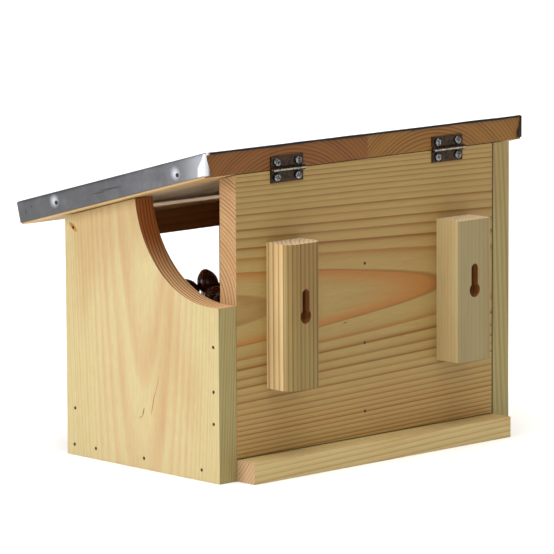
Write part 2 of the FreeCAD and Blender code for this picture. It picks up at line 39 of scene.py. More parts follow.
# The roof drawn flat: distance down the slope from the rear, and height square to the slope.
ROOF_PITCH = math.radians(14.8)
ROOF_REAR_HEIGHT = 209.3
ROOF_LENGTH = 196.0
ROOF_BOARD = 15.4
SHEET_THICKNESS = 0.6
SHEET_TOP = ROOF_BOARD + SHEET_THICKNESS
FLANGE_BOTTOM = 1.2
FOLD_RADIUS = 1.3
FLAT_FLANGE = SHEET_TOP - FOLD_RADIUS - FLANGE_BOTTOM
REAR_LIP = 1.2
NAIL_PLACES = [(25.4, 6.4), (154.2, 8.8)]
SLOPE = Vector((0, math.cos(ROOF_PITCH), math.sin(ROOF_PITCH)))
SQUARE_UP = Vector((0, -math.sin(ROOF_PITCH), math.cos(ROOF_PITCH)))

# The entry's arc in the side panels, as (y, z).
ENTRY_CENTRE = (-9, 195)
ENTRY_RADIUS = 75

# The camera stands behind the box, on the side of the entry cut: millimetres, and angles in degrees.
CAMERA_PLACE = (2188.93, 2240.09, 607.32)
CAMERA_AZIMUTH = 136.81
CAMERA_ELEVATION = 8.727
CAMERA_ROLL = -0.293
CAMERA_LENS = 298.2

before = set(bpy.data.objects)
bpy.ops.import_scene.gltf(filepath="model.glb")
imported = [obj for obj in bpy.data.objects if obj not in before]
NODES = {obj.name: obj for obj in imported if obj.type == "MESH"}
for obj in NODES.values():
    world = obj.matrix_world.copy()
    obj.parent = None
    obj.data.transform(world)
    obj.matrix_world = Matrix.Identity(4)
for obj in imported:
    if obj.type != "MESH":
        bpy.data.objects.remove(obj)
ROOF_HALF = NODES["roof_board_left"].dimensions.x / MM
SHEET_HALF = ROOF_HALF + SHEET_THICKNESS
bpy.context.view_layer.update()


def colour(red, green, blue):
    """A linear colour from its display values, 0 to 255."""

    def linear(value):
        share = value / 255
        return share / 12.92 if share <= 0.04045 else ((share + 0.055) / 1.055) ** 2.4

    return (linear(red), linear(green), linear(blue), 1.0)


# --- Node trees ---


class Graph:
    """The node tree of one new material, with short calls for the nodes that the finishes share."""

    def __init__(self, name):
        self.material = bpy.data.materials.new(name)
        self.material.use_nodes = True
        self.tree = self.material.node_tree
        self.tree.nodes.clear()
        self.output = self.node("OutputMaterial")
        coordinates = self.node("TexCoord")
        self.normal = coordinates.outputs["Normal"]
        self.place = self.vector("SCALE", coordinates.outputs["Object"], scale=1 / MM)

    def fill(self, socket, value):
        """Links a socket to another node's output, or gives it a plain value."""
        if isinstance(value, bpy.types.NodeSocket):
            self.tree.links.new(value, socket)
        elif value is not None:
            socket.default_value = value

    def node(self, kind):
        """A new shader node of that kind."""
        return self.tree.nodes.new("ShaderNode" + kind)

    def math(self, operation, first, second=None, third=None, clamp=False):
        """One step of arithmetic on numbers."""
        node = self.node("Math")
        node.operation = operation
        node.use_clamp = clamp
        for socket, value in zip(node.inputs, (first, second, third)):
            self.fill(socket, value)
        return node.outputs[0]

    def plus(self, first, second, clamp=False):
        return self.math("ADD", first, second, clamp=clamp)

    def minus(self, first, second):
        return self.math("SUBTRACT", first, second)

    def times(self, first, second, clamp=False):
        return self.math("MULTIPLY", first, second, clamp=clamp)

    def line(self, value, slope, start):
        """slope times the value, plus start."""
        return self.math("MULTIPLY_ADD", value, slope, start)

    def vector(self, operation, first, second=None, scale=None):
        """One step of arithmetic on vectors; some operations give a number."""
        node = self.node("VectorMath")
        node.operation = operation
        self.fill(node.inputs[0], first)
        self.fill(node.inputs[1], second)
        if scale is not None:
            self.fill(node.inputs["Scale"], scale)
        gives_number = operation in ("DOT_PRODUCT", "LENGTH", "DISTANCE")
        return node.outputs["Value" if gives_number else "Vector"]

    def split(self, vector):
        """The x, y and z of a vector."""
        node = self.node("SeparateXYZ")
        self.fill(node.inputs[0], vector)
        return node.outputs[0], node.outputs[1], node.outputs[2]

    def noise(self, vector, size, detail=2.0, roughness=0.5, coloured=False):
        """Noise whose features are about size millimetres: a number, or three where coloured."""
        node = self.node("TexNoise")
        self.fill(node.inputs["Vector"], vector)
        node.inputs["Scale"].default_value = 1 / size
        node.inputs["Detail"].default_value = detail
        node.inputs["Roughness"].default_value = roughness
        return node.outputs[1 if coloured else 0]

    def speckle(self, number):
        """One random number for each whole number."""
        node = self.node("TexWhiteNoise")
        node.noise_dimensions = "1D"
        self.fill(node.inputs["W"], number)
        return node.outputs["Value"]

    def remap(self, value, low, high, to_low=0.0, to_high=1.0):
        """Moves the range from low to high on to another one, smoothly, and stops at its ends."""
        node = self.node("MapRange")
        node.interpolation_type = "SMOOTHSTEP"
        for socket, number in zip(node.inputs, (value, low, high, to_low, to_high)):
            self.fill(socket, number)
        return node.outputs[0]

    def ramp(self, value, stops):
        """A number that follows the stops, each a pair of where and how much."""
        node = self.node("ValToRGB")
        elements = node.color_ramp.elements
        while len(elements) < len(stops):
            elements.new(0.5)
        for element, (where, amount) in zip(elements, stops):
            element.position = where
            element.color = (amount, amount, amount, 1)
        self.fill(node.inputs[0], value)
        return node.outputs[0]

    def mix(self, share, low, high, blend="MIX"):
        """The first colour at share 0, and the second one, or its blend with the first, at 1."""
        node = self.node("Mix")
        node.data_type = "RGBA"
        node.blend_type = blend
        self.fill(node.inputs[0], share)
        self.fill(node.inputs[6], low)
        self.fill(node.inputs[7], high)
        return node.outputs[2]

    def shaded(self, base, brightness):
        """A colour made lighter or darker by a number."""
        return self.mix(1.0, base, self.vector("SCALE", (1, 1, 1), scale=brightness), "MULTIPLY")

    def bump(self, height, strength, depth):
        """A normal from a height map; depth is in millimetres."""
        node = self.node("Bump")
        node.inputs["Strength"].default_value = strength
        node.inputs["Distance"].default_value = depth * MM
        self.fill(node.inputs["Height"], height)
        return node.outputs[0]

    def attribute(self, name, output):
        """A value that the mesh carries at each of its points."""
        node = self.node("Attribute")
        node.attribute_name = name
        return node.outputs[output]

    def surface(self, base, roughness, normal=None, **constants):
        """Ends the tree in a Principled shader. The constants are its other sockets."""
        node = self.node("BsdfPrincipled")
        self.fill(node.inputs["Base Color"], base)
        self.fill(node.inputs["Roughness"], roughness)
        self.fill(node.inputs["Normal"], normal)
        for name, number in constants.items():
            node.inputs[name.replace("_", " ")].default_value = number
        self.tree.links.new(node.outputs[0], self.output.inputs["Surface"])
        return self.material


# --- Wood ---

WARM_TINT = colour(240, 214, 196)


class Grain:
    """Where a surface point lies in its log: around the heart line, and along it."""

    def __init__(self, graph, heart, axis):
        self.graph = graph
        self.axis = tuple(Vector(axis).normalized())
        offset = graph.vector("SUBTRACT", graph.place, tuple(heart))
        self.run = graph.vector("DOT_PRODUCT", offset, self.axis)
        lengthways = graph.vector("SCALE", self.axis, scale=self.run)
        self.across = graph.vector("SUBTRACT", offset, lengthways)

    def stretched(self, times):
        """Coordinates for patterns that are that many times as long as they are wide."""
        squeezed = self.graph.math("DIVIDE", self.run, times)
        lengthways = self.graph.vector("SCALE", self.axis, scale=squeezed)
        return self.graph.vector("ADD", self.across, lengthways)

    def bent(self, size, times, amount):
        """The position across the grain, pushed about by a wide soft noise."""
        soft = self.graph.noise(self.stretched(times), size, detail=1, coloured=True)
        centred = self.graph.vector("SUBTRACT", soft, (0.5, 0.5, 0.5))
        push = self.graph.vector("SCALE", centred, scale=amount)
        return self.graph.vector("ADD", self.across, push)

    def squareness(self):
        """1 where a face is cut square across the grain, and 0 along it."""
        facing = self.graph.vector("DOT_PRODUCT", self.graph.normal, self.axis)
        return self.graph.remap(self.graph.math("ABSOLUTE", facing), 0.25, 0.8)


# How dark a ring is from its inner to its outer side: with a hard last edge, or soft on both sides.
SHARP_RING = [(0.0, 0.0), (0.35, 0.05), (0.66, 0.34), (0.86, 1.0), (0.94, 0.9), (1.0, 0.0)]
SOFT_RING = [(0.0, 0.0), (0.3, 0.15), (0.62, 0.75), (0.74, 0.85), (0.9, 0.4), (1.0, 0.0)]
# Ring widths drift over about this many millimetres.
RING_DRIFT = 17


def ring_pattern(graph, radius, width, near, tightening, unevenness, softness, phase):
    """Year rings: how much latewood there is at that distance from the heart.

    The rings are width wide at the distance near, and get narrower outwards: over the length called
    tightening they shrink to 0.37 times as wide. Each ring has its own strength.
    """
    drift = graph.noise(graph.vector("SCALE", (1, 0, 0), scale=radius), RING_DRIFT, detail=1)
    drift = graph.times(graph.minus(drift, 0.5), unevenness)
    outwards = graph.math("DIVIDE", graph.minus(radius, near), tightening)
    grown = graph.times(graph.math("EXPONENT", outwards), tightening / width)
    turns = graph.plus(graph.plus(grown, drift), phase)
    share = graph.math("FRACT", turns)
    late = graph.mix(softness, graph.ramp(share, SHARP_RING), graph.ramp(share, SOFT_RING))
    own_strength = graph.speckle(graph.math("FLOOR", turns))
    strength = graph.line(own_strength, 0.55, 0.5)
    return graph.times(late, strength, clamp=True)


def stain(graph, base, place, direction, half_length, half_width, paint, amount=1.0):
    """Paints a lens-shaped mark, such as a small knot or a resin streak, over a base colour."""
    mark = Grain(graph, place, direction)
    lengthways = graph.math("POWER", graph.math("DIVIDE", mark.run, half_length), 2)
    sideways = graph.math("DIVIDE", graph.vector("LENGTH", mark.across), half_width)
    reach = graph.plus(lengthways, graph.math("POWER", sideways, 2))
    ragged = graph.line(graph.noise(graph.place, 1.2), 0.8, -0.4)
    share = graph.remap(graph.plus(reach, ragged), 1.1, 0.35, 0.0, amount)
    return graph.mix(share, base, paint)


def face_tone(graph, grain, late_share, early, late, contrast, blush):
    """The colour along the grain: rings, finer streaks between them, and wide warm clouds."""
    streak = graph.noise(grain.stretched(30), 3.2, detail=2)
    cloud = graph.noise(grain.stretched(4), 34, detail=1)
    share = graph.times(late_share, contrast)
    streaks = graph.times(graph.minus(streak, 0.5), 0.35)
    face = graph.mix(graph.plus(share, streaks, clamp=True), early, late)
    warm = graph.remap(cloud, 0.44, 0.66, 0.0, blush)
    return graph.mix(warm, face, WARM_TINT, "MULTIPLY")


def end_tone(graph, late_share, early, late, contrast):
    """The colour of the end grain: the rings as arcs, and dark pores."""
    arcs = graph.times(late_share, contrast, clamp=True)
    end = graph.mix(arcs, early, late)
    pores = graph.noise(graph.place, 0.5, detail=2)
    return graph.mix(graph.remap(pores, 0.42, 0.7, 0.0, 0.35), end, late)


def pine(name, heart, axis, width, early, late, end_early, end_late, contrast=1.0, blush=0.5,
         unevenness=1.2, bend=1.5, near=0.0, tightening=400.0, softness=0.0, phase=0.0, end_contrast=1.0,
         end_width=None, extra=None, marks=()):
    """Planed softwood cut from a log with its heart line through that point, along that axis.

    early and late are the ring colours on the faces, end_early and end_late those on the end grain, where
    the rings can have a width of their own. bend is how far they wander sideways. extra is a function that
    paints over the base colour, and marks are the settings of single stains.
    """
    graph = Graph(name)
    grain = Grain(graph, heart, axis)
    radius = graph.vector("LENGTH", grain.bent(38, 7, 2 * bend))
    late_share = ring_pattern(graph, radius, width, near, tightening, unevenness, softness, phase)
    end_rings = late_share
    if end_width:
        end_rings = ring_pattern(graph, radius, end_width, 0, 400, unevenness, 0.4, 0)

    face = face_tone(graph, grain, late_share, early, late, contrast, blush)
    end = end_tone(graph, end_rings, end_early, end_late, end_contrast)
    base = graph.mix(grain.squareness(), face, end)
    if extra:
        base = extra(graph, base, late_share, radius)
    fibre = graph.noise(grain.stretched(45), 0.45, detail=3, roughness=0.6)
    base = graph.shaded(base, graph.remap(fibre, 0.25, 0.75, 0.9, 1.06))
    for mark in marks:
        base = stain(graph, base, *mark)

    roughness = graph.remap(fibre, 0.2, 0.8, 0.52, 0.7)
    height = graph.line(late_share, 0.5, graph.times(fibre, 0.6))
    return graph.surface(base, roughness, graph.bump(height, 0.35, 0.12), Specular_IOR_Level=0.35)


PALE_EARLY = colour(180, 164, 118)
PALE_LATE = colour(168, 116, 74)
PALE_END = colour(152, 112, 76)
DARK_END = colour(92, 48, 20)
GOLD_EARLY = colour(196, 164, 104)
GOLD_LATE = colour(150, 98, 44)
BACK_EARLY = colour(149, 125, 73)
BACK_LATE = colour(115, 73, 27)
SEAM_SHADE = colour(46, 28, 12)
RESIN = colour(150, 84, 24)
KNOT = colour(88, 52, 26)

# Places on the boards, in millimetres.
SIDE_FACE = 140.0
SIDE_MIDDLE = -78.0
BATTEN_FACE = 22.0
KEYHOLE_SIDE = 7.5
KEYHOLE_BOTTOM = 102.0
KEYHOLE_TOP = 135.0
SEAM_SHADE_EDGE = -122.5

# The red-brown stripes on the sawn face of the entry: how dark each is from one side to the other.
SAWN_STRIPE = [(0.0, 0.1), (0.45, 0.0), (0.7, 0.9), (0.85, 1.0), (1.0, 0.1)]
SAWN_STRIPE_WIDTH = 2.7


def shade_towards_wall(graph, base, tint, low=0.4, high=0.99):
    """Paints shade on the faces that look towards the wall, by multiplying in the tint; low and high say how
    squarely they have to.
    """
    outwards = graph.split(graph.normal)[1]
    return graph.mix(graph.remap(outwards, low, high), base, graph.mix(1.0, base, tint, "MULTIPLY"))


def plain_side_extra(graph, base, late_share, radius):
    """The side's rear edge gets painted shade, with its rings showing plainly, and its faces turn greenish
    towards the edges.
    """
    # Painted shade on the rear edge, which faces the wall: darker in the rings.
    rear_edge_shade = graph.mix(late_share, colour(208, 209, 195), colour(184, 180, 160))
    depth = graph.split(graph.place)[1]
    from_middle = graph.math("ABSOLUTE", graph.minus(depth, SIDE_MIDDLE))
    green = graph.mix(graph.remap(from_middle, 38, 66), (1, 1, 1, 1), colour(252, 255, 250))
    base = graph.mix(1.0, base, green, "MULTIPLY")
    return shade_towards_wall(graph, base, rear_edge_shade)


def entry_side_extra(graph, base, late_share, radius):
    """Like the plain side, with the sawn face of the entry brown and striped, and painted shade that makes
    it darker high up, where it turns towards the wall, and paler low down, where it faces up.
    """
    base = plain_side_extra(graph, base, late_share, radius)
    depth_place = graph.vector("SUBTRACT", graph.place, (0, ENTRY_CENTRE[0], ENTRY_CENTRE[1]))
    around = graph.vector("MULTIPLY", depth_place, (0, 1, 1))
    gap = graph.math("ABSOLUTE", graph.minus(graph.vector("LENGTH", around), ENTRY_RADIUS))
    x, _, height = graph.split(graph.place)
    on_arc = graph.remap(gap, 0.7, 0.4)
    inside = graph.remap(x, SIDE_FACE - 0.3, SIDE_FACE - 0.7)
    # Painted shade: the sawn face is darker high up, where it turns towards the wall, and paler low down,
    # where it faces up.
    tone = graph.mix(graph.remap(height, 165, 122), colour(148, 83, 35), colour(226, 184, 134))
    uneven = graph.noise(graph.place, 22, detail=1)
    slant = graph.line(height, 0.021, uneven)
    turns = graph.plus(slant, graph.math("DIVIDE", x, SAWN_STRIPE_WIDTH))
    stripe = graph.ramp(graph.math("FRACT", turns), SAWN_STRIPE)
    striped = graph.mix(graph.times(stripe, 0.85), tone, colour(92, 40, 14))
    return graph.mix(graph.times(on_arc, inside), base, striped)


def batten_extra(centre, tint):
    """The batten at that x: painted shade, with a greyer tint, behind and round its rear edges, and painted
    shade inside its keyhole, in red-brown.
    """

    def paint(graph, base, late_share, radius):
        # Painted shade, with a greyer tint, on the faces towards the wall and round the rear edges.
        base = shade_towards_wall(graph, base, tint, 0.02, 0.6)
        x, depth, height = graph.split(graph.place)
        beside = graph.math("ABSOLUTE", graph.minus(x, centre))
        near = graph.remap(beside, KEYHOLE_SIDE + 0.5, KEYHOLE_SIDE - 0.5)
        share = graph.times(near, graph.remap(depth, BATTEN_FACE - 0.1, BATTEN_FACE - 0.6))
        above = graph.remap(height, KEYHOLE_BOTTOM - 1, KEYHOLE_BOTTOM + 1)
        along = graph.times(above, graph.remap(height, KEYHOLE_TOP + 1, KEYHOLE_TOP - 1))
        # Painted shade inside the keyhole recess, in red-brown, darker in the rings.
        keyhole_shade = graph.mix(late_share, colour(138, 86, 44), colour(82, 43, 18))
        return graph.mix(graph.times(share, along), base, keyhole_shade)

    return paint


def back_extra(graph, base, late_share, radius):
    """The orange figure: a ring that darkens slowly outwards and ends sharply, and a fainter one beyond.

    The lowest rings are richer, painted light makes the board lighter downwards, and the end away from the
    entry carries a painted shadow along its seam.
    """
    for reach, paint, amount in ((49.7, colour(172, 114, 52), 0.5), (55.6, colour(160, 110, 54), 0.25)):
        inner = graph.remap(radius, reach - 2.6, reach, 0.0, amount)
        outer = graph.remap(radius, reach + 0.5, reach)
        base = graph.mix(graph.times(inner, outer), base, paint)
    x, _, height = graph.split(graph.place)
    rich = graph.times(graph.remap(height, 62, 26, 0.0, 0.6), late_share)
    base = graph.mix(rich, base, colour(126, 70, 22))
    # Painted light: the board is made lighter towards the bottom.
    base = graph.shaded(base, graph.remap(height, 75, 20, 1.0, 1.16))
    # Painted shadow along the seam at the end away from the entry.
    ragged = graph.line(graph.noise(graph.place, 3.0), 0.8, -0.4)
    seam = graph.remap(graph.plus(x, ragged), SEAM_SHADE_EDGE, SEAM_SHADE_EDGE - 0.5)
    return graph.mix(seam, base, SEAM_SHADE)


def entry_side_pine():
    """A cathedral figure that opens upwards, with its tip low on the board, and a filled, skewed nail."""
    grain = (-0.05, 0, 1)
    marks = [
        ((SIDE_FACE, -148.3, 160.6), (0, -0.82, 0.57), 5.2, 2.1, colour(150, 104, 22)),
        ((SIDE_FACE, -66.8, 47.0), (0, -0.25, -1), 9.5, 0.55, RESIN, 0.85),
        ((SIDE_FACE, -62.5, 60.0), (0, -0.3, -1), 9.0, 0.45, RESIN, 0.55),
        ((SIDE_FACE, -76.8, 40.0), (0, -0.3, -1), 3.6, 0.7, KNOT, 0.75),
        ((SIDE_FACE, -79.5, 36.0), (0, -0.9, -0.5), 3.0, 0.5, RESIN, 0.7),
        ((SIDE_FACE, -73.0, 140.0), (0, -0.1, 1), 8.0, 1.6, colour(206, 168, 100), 0.3),
    ]
    return pine("side_pine_entry", (200, -77, 37), grain, 5.0, PALE_EARLY, PALE_LATE, PALE_END, DARK_END,
                contrast=0.45, near=60, tightening=35, softness=0.8, extra=entry_side_extra, marks=marks)


def plain_side_pine():
    """Upright grain with the log's heart far outside the board, so the lines run nearly straight."""
    return pine("side_pine_plain", (-212, -92, 60), (0.03, 0.02, 1), 4.0, PALE_EARLY, PALE_LATE, PALE_END,
                DARK_END, contrast=0.45, softness=0.6, extra=plain_side_extra)


def back_pine():
    """Level grain, with an orange figure across the middle whose tip points away from the entry."""
    marks = [
        ((22.0, 0, 97.0), (1, 0, -0.1), 2.2, 0.5, KNOT, 0.8),
        ((-33.0, 0, 81.0), (1, 0, 0), 3.0, 0.6, RESIN, 0.5),
    ]
    return pine("back_pine", (-65, -50, 117), (1, 0.035, 0), 5.5, BACK_EARLY, BACK_LATE,
                colour(178, 142, 95), colour(110, 62, 28), contrast=1.0, blush=0.2, bend=1.0, near=50,
                tightening=75, unevenness=0.5, phase=0.28, end_width=3.2, extra=back_extra, marks=marks)


def level_pine(name, heart, contrast=0.8, early=GOLD_EARLY, late=GOLD_LATE, extra=None):
    """Golden board with level grain."""
    return pine(name, heart, (1, 0.01, -0.015), 3.1, early, late, colour(174, 146, 106),
                colour(138, 92, 58), contrast=contrast, bend=2.0, extra=extra)


def painted_lit_top(graph, base, late_share, radius):
    """Painted light: the upward-facing top is made much paler than the board's faces, for the light that
    falls on it under the lid.
    """
    upwards = graph.split(graph.normal)[2]
    return graph.mix(graph.remap(upwards, 0.6, 0.9), base, colour(246, 228, 196))


def batten_pine(name, heart, width, contrast, early, late, centre, tint):
    """Upright grain, for the batten whose middle is at that x."""
    return pine(name, heart, (0.004, 0, 1), width, early, late, colour(192, 174, 142), colour(140, 100, 66),
                contrast=contrast, bend=1.2, unevenness=1.0, extra=batten_extra(centre, tint))


def roof_pine(name, heart, end_early, end_late):
    """Roof board: its rear end shows the rings as brown arcs."""
    return pine(name, heart, SLOPE, 3.2, colour(190, 160, 108), colour(150, 100, 54), end_early, end_late,
                contrast=0.7, end_contrast=0.9)


# --- Metal, pane and nuts ---


ZINC_DULL = colour(80, 80, 82)
ZINC_BRIGHT = colour(108, 108, 111)
ZINC_PAINTED_GLINT = colour(222, 225, 232)
ZINC_EDGE = colour(30, 26, 23)
ZINC_SCRATCH = colour(46, 46, 50)
# Marks on the side flange: distance from the rear, height, half-length, and whether the mark is upright.
SCRATCHES = [(96, 8.9, 17, False), (108, 8.1, 12, False), (188, 8.2, 3.2, True), (181, 10.4, 1.5, True)]


def dent_highlights(graph, base):
    """Painted highlights a little beside each nail, where the nails have pressed the sheet in."""
    for run, height in NAIL_PLACES:
        for side in (1, -1):
            place = roof_point(side * SHEET_HALF, run + 1.6, height + 1.4)
            dent = graph.vector("DISTANCE", graph.place, tuple(place))
            base = graph.mix(graph.remap(dent, 6.0, 0.0, 0.0, 0.62), base, ZINC_PAINTED_GLINT)
    return base


def rear_glints(graph, base):
    """Painted highlights: a glow towards the rear corners, a band on the bent rear edge, and the entry
    side's wrap round the rear; and dark along the lip.
    """
    width, depth, _ = graph.split(graph.place)
    from_rear = graph.vector("SUBTRACT", graph.place, (0, 0, ROOF_REAR_HEIGHT))
    flat_height = graph.vector("DOT_PRODUCT", from_rear, SQUARE_UP)
    sideways = graph.math("ABSOLUTE", graph.split(graph.normal)[0])
    on_side = graph.remap(sideways, 0.6, 0.9)
    glow = graph.times(graph.remap(depth, -24.0, -4.0, 0.0, 0.28), on_side)
    base = graph.mix(glow, base, ZINC_PAINTED_GLINT)

    bulge = graph.line(graph.remap(flat_height, 15.0, 6.5), 4.2, depth)
    bent = graph.times(graph.remap(bulge, -1.6, 0.2), on_side)
    behind = graph.times(graph.remap(depth, 0.1, 0.4), graph.remap(width, 0.0, 1.0))
    base = graph.mix(graph.times(graph.math("MAXIMUM", bent, behind), 0.9), base, ZINC_PAINTED_GLINT)

    inwards = graph.remap(width, SHEET_HALF - 1.5, SHEET_HALF - 5.5)
    lip = graph.times(graph.remap(depth, -0.35, -0.1), inwards)
    return graph.mix(lip, base, ZINC_EDGE)


def flange_scratches(graph, base):
    """The scratches on the entry side's flange, long ones nearly along it and short ones upright."""
    along = SLOPE - Vector((0, 0, 0.03))
    for middle, height, reach, stands in SCRATCHES:
        place = roof_point(SHEET_HALF + 0.15, middle, height)
        direction = SQUARE_UP if stands else along
        base = stain(graph, base, place, direction, reach, 0.8, ZINC_SCRATCH, 0.85)
    return base


def zinc_finish():
    """Dull galvanised sheet with soft blotches, painted highlights where it is dented or bent, and
    scratched.
    """
    graph = Graph("zinc_sheet")
    blotch = graph.noise(graph.place, 16, detail=3, roughness=0.5)
    spangle = graph.noise(graph.place, 3.2, detail=2)
    rolled = graph.noise(graph.vector("MULTIPLY", graph.place, (1, 0.08, 0.7)), 1.1, detail=2)
    depth = graph.split(graph.place)[1]
    tone = graph.plus(graph.times(blotch, 0.6), graph.times(spangle, 0.2))
    tone = graph.plus(tone, graph.remap(depth, -120, 0, 0.0, 0.3))
    base = graph.mix(graph.remap(tone, 0.3, 0.8), ZINC_DULL, ZINC_BRIGHT)

    base = dent_highlights(graph, base)
    base = rear_glints(graph, base)
    base = flange_scratches(graph, base)
    roughness = graph.remap(tone, 0.3, 0.7, 0.42, 0.55)
    relief = graph.line(rolled, 0.4, graph.times(blotch, 1.2))
    return graph.surface(base, roughness, graph.bump(relief, 0.25, 0.2), Metallic=0.6)


def hinge_finish():
    """Dark oxidised steel, with a painted highlight along the top of the knuckles."""
    graph = Graph("hinge_steel")
    blotch = graph.noise(graph.place, 2.6, detail=4, roughness=0.65)
    base = graph.mix(graph.remap(blotch, 0.35, 0.65), colour(26, 22, 19), colour(66, 49, 34))
    depth = graph.split(graph.place)[1]
    knuckle_highlight = graph.times(graph.remap(depth, 3.7, 3.88), graph.remap(blotch, 0.3, 0.6, 0.35, 1.0))
    base = graph.mix(knuckle_highlight, base, colour(170, 160, 146))
    roughness = graph.remap(blotch, 0.3, 0.7, 0.24, 0.42)
    return graph.surface(base, roughness, graph.bump(blotch, 0.3, 0.12), Metallic=0.85)


def plated_finish():
    """Bright zinc plating, with a little dirt in it."""
    graph = Graph("plated_steel")
    dirt = graph.noise(graph.place, 1.3, detail=4, roughness=0.6)
    base = graph.mix(graph.remap(dirt, 0.4, 0.62), colour(144, 147, 151), colour(60, 57, 54))
    return graph.surface(base, graph.remap(dirt, 0.3, 0.7, 0.2, 0.42), graph.bump(dirt, 0.2, 0.06),
                         Metallic=1.0)


def nail_finish():
    """Dull wire nails, spotted with rust."""
    graph = Graph("nail_steel")
    spot = graph.noise(graph.place, 0.8, detail=3)
    base = graph.mix(graph.remap(spot, 0.4, 0.65), colour(34, 29, 25), colour(70, 50, 34))
    return graph.surface(base, graph.remap(spot, 0.3, 0.7, 0.4, 0.62), graph.bump(spot, 0.3, 0.08),
                         Metallic=0.7)


def pane_finish():
    """Clear acrylic: what lies behind shows through, and the gloss and fine wipe marks come on top."""
    graph = Graph("clear_acrylic")
    wipe = graph.noise(graph.vector("MULTIPLY", graph.place, (0.3, 1, 1)), 14, detail=5, roughness=0.7)
    clear = graph.node("BsdfTransparent")
    graph.fill(clear.inputs["Color"], (0.985, 0.992, 0.99, 1))
    gloss = graph.node("BsdfGlossy")
    graph.fill(gloss.inputs["Color"], (0.95, 0.97, 0.98, 1))
    graph.fill(gloss.inputs["Roughness"], graph.remap(wipe, 0.4, 0.75, 0.03, 0.2))
    weight = graph.node("LayerWeight")
    grazing = graph.math("POWER", weight.outputs["Facing"], 5)
    blend = graph.node("MixShader")
    share = graph.line(grazing, 0.8, graph.remap(wipe, 0.5, 0.8, 0.012, 0.03))
    graph.fill(blend.inputs[0], share)
    graph.tree.links.new(clear.outputs[0], blend.inputs[1])
    graph.tree.links.new(gloss.outputs[0], blend.inputs[2])
    graph.tree.links.new(blend.outputs[0], graph.output.inputs["Surface"])
    return graph.material


def nut_finish():
    """Brown shells: dark and glossy, striped from base to tip, with a dull pale scar at the base."""
    graph = Graph("nut_shell")
    own = graph.attribute("nut_place", "Vector")
    stripe = graph.noise(graph.vector("MULTIPLY", own, (9, 9, 1.2)), 1.0, detail=3, roughness=0.6)
    height = graph.split(own)[2]
    shell = graph.mix(graph.remap(stripe, 0.35, 0.65), colour(62, 20, 9), colour(118, 50, 22))
    shell = graph.mix(graph.attribute("nut_tone", "Fac"), shell, colour(40, 13, 7))
    scar = graph.remap(height, NUT_BASE + 0.08, NUT_BASE)
    base = graph.mix(scar, shell, colour(134, 92, 58))
    roughness = graph.line(scar, 0.4, graph.remap(stripe, 0.3, 0.7, 0.22, 0.36))
    return graph.surface(base, roughness, graph.bump(stripe, 0.25, 0.15), Coat_Weight=0.15)


# --- The roof drawn flat ---


def roof_point(x, run, height):
    """A point of the roof drawn flat, in the frame's millimetres: run goes down the slope from the rear."""
    return Vector((x, 0, ROOF_REAR_HEIGHT)) - run * SLOPE + height * SQUARE_UP


# --- Meshes ---


def new_piece(name, points, faces, material, body):
    """A mesh piece from points in the frame's millimetres, riding on a CAD body."""
    mesh = bpy.data.meshes.new(name)
    mesh.from_pydata([Vector(point) * MM for point in points], [], faces)
    mesh.polygons.foreach_set("use_smooth", [True] * len(mesh.polygons))
    mesh.materials.append(material)
    piece = bpy.data.objects.new(name, mesh)
    bpy.context.scene.collection.objects.link(piece)
    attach(piece, body)
    return piece


def ease_edges(node, width):
    """Rounds a CAD node's sharp edges a little, by modifiers alone."""
    weld = node.modifiers.new("weld", "WELD")
    weld.merge_threshold = 1e-6
    merge = node.modifiers.new("merge_flat", "DECIMATE")
    merge.decimate_type = "DISSOLVE"
    merge.angle_limit = math.radians(0.4)
    bevel = node.modifiers.new("ease", "BEVEL")
    bevel.width = width * MM
    bevel.segments = 2
    bevel.limit_method = "ANGLE"
    bevel.angle_limit = math.radians(32)
    shade = node.modifiers.new("shade", "WEIGHTED_NORMAL")
    shade.keep_sharp = False


def grid_faces(rows, columns, closed=False):
    """Quads over a grid of points that is stored row by row; closed joins each row's ends."""
    faces = []
    for row in range(rows - 1):
        for column in range(columns if closed else columns - 1):
            after = (column + 1) % columns
            low = row * columns
            faces.append((low + column, low + after, low + columns + after, low + columns + column))
    return faces


def ease(value, low, high):
    """Rises smoothly from 0 at low to 1 at high."""
    share = min(max((value - low) / (high - low), 0.0), 1.0)
    return share * share * (3 - 2 * share)


# --- The folded roof sheet ---

# How finely the sheet is divided: across the top, down a flange, round a fold and down the slope.
TOP_COLUMNS = 90
FLANGE_STEPS = 9
FOLD_STEPS = 4
SLOPE_ROWS = 96


def sheet_profile():
    """The sheet's outer outline across the roof, from one flange's bottom edge to the other's."""
    side = []
    for step in range(FLANGE_STEPS):
        side.append((SHEET_HALF, FLANGE_BOTTOM + FLAT_FLANGE * step / FLANGE_STEPS))
    for step in range(FOLD_STEPS):
        angle = math.radians(90) * step / FOLD_STEPS
        side.append((SHEET_HALF - FOLD_RADIUS * (1 - math.cos(angle)),
                     SHEET_TOP - FOLD_RADIUS * (1 - math.sin(angle))))
    reach = SHEET_HALF - FOLD_RADIUS
    top = [(reach - 2 * reach * step / TOP_COLUMNS, SHEET_TOP) for step in range(TOP_COLUMNS + 1)]
    other = [(-x, height) for x, height in reversed(side)]
    return side + top + other


def flange_wave(side, run, height):
    """How far a side flange stands out from flat: long waves, dimples at the nails, a bulge at the rear."""
    wave = 0.22 * math.sin(run / 17.0 + side) + 0.12 * math.sin(run / 6.1 + 2 * side)
    low_share = ease(height, SHEET_TOP, FLANGE_BOTTOM)
    out = 0.15 + wave * low_share * 0.8
    for nail_run, nail_height in NAIL_PLACES:
        gap = math.hypot(run - nail_run, height - nail_height)
        out -= 0.22 * math.exp(-((gap / 3.4) ** 2))
    bulge = math.exp(-(((run - 5.0) / 3.5) ** 2))
    out += 0.45 * bulge * (0.4 + 0.6 * low_share)
    return out * ease(run, -4.5, 1.5)


